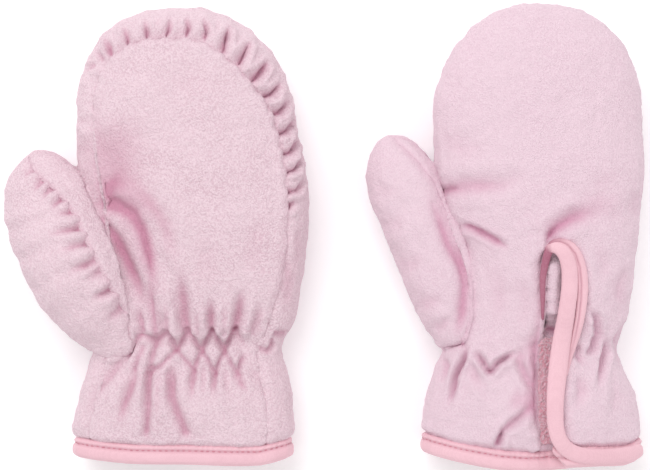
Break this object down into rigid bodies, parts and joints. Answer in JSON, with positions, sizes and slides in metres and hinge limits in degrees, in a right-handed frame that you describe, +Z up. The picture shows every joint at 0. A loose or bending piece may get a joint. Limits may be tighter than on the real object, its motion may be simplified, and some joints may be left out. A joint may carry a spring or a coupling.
{
  "type": "pair of baby mittens",
  "caption": "Hollow fleece mittens for a baby, one palm up and one back up, with gathered fingertips, elastic wrists, bound hems and a slit that a hook and loop tape closes.",
  "frame": {"origin": "middle of the pair on the surface that it lies on", "axes": "+X across the pair to the right, +Y from the hems to the fingertips, +Z up from the surface"},
  "size_m": [0.1916, 0.1395, 0.0283],
  "materials": {
    "fleece": "brushed, matt, with a soft sheen",
    "tape": "smooth stretch binding, satin",
    "fastener": "rough hook and loop, matt"
  },
  "bodies": {
    "root": {"left_palm": "fleece", "left_back": "fleece", "left_thumb_inner": "fleece", "left_thumb_outer": "fleece", "left_underlap": "fleece", "left_hem_tape": "tape", "left_flap_tape": "tape", "left_slit_tape": "tape", "right_palm": "fleece", "right_back": "fleece", "right_thumb_inner": "fleece", "right_thumb_outer": "fleece", "right_underlap": "fleece", "right_hem_tape": "tape", "right_flap_tape": "tape", "right_slit_tape": "tape", "right_loop_tape": "fastener", "right_hook_tape": "fastener"}
  },
  "joints": []
}
